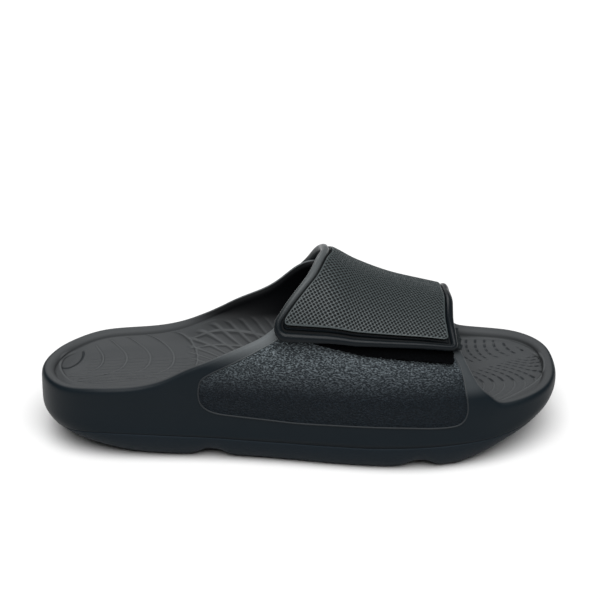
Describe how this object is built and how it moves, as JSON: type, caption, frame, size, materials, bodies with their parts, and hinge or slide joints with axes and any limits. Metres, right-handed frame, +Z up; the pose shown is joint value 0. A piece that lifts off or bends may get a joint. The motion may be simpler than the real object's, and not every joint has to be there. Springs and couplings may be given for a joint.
{
  "type": "sport slide sandal",
  "caption": "Right-foot slide sandal: moulded foam body with two side wings on an outsole, bridged by a wide hook-and-loop strap over the instep, open at toe and heel.",
  "frame": {"origin": "centre of the bounding box on the floor plane, under the middle of the sole", "axes": "+X from heel to toe, +Y to the big-toe side, +Z up"},
  "size_m": [0.2922, 0.1136, 0.1088],
  "materials": {
    "outsole": "matte black foam rubber with a fine grain",
    "body": "satin charcoal moulded foam",
    "strap": "satin dark grey moulded strap with a dimpled panel",
    "hook_tape": "matte black hook tape",
    "loop_pad": "napped black loop fabric"
  },
  "bodies": {
    "root": {"outsole": "outsole", "moulded_body": "body", "strap": "strap", "hook_tape": "hook_tape", "loop_pad": "loop_pad"}
  },
  "joints": []
}
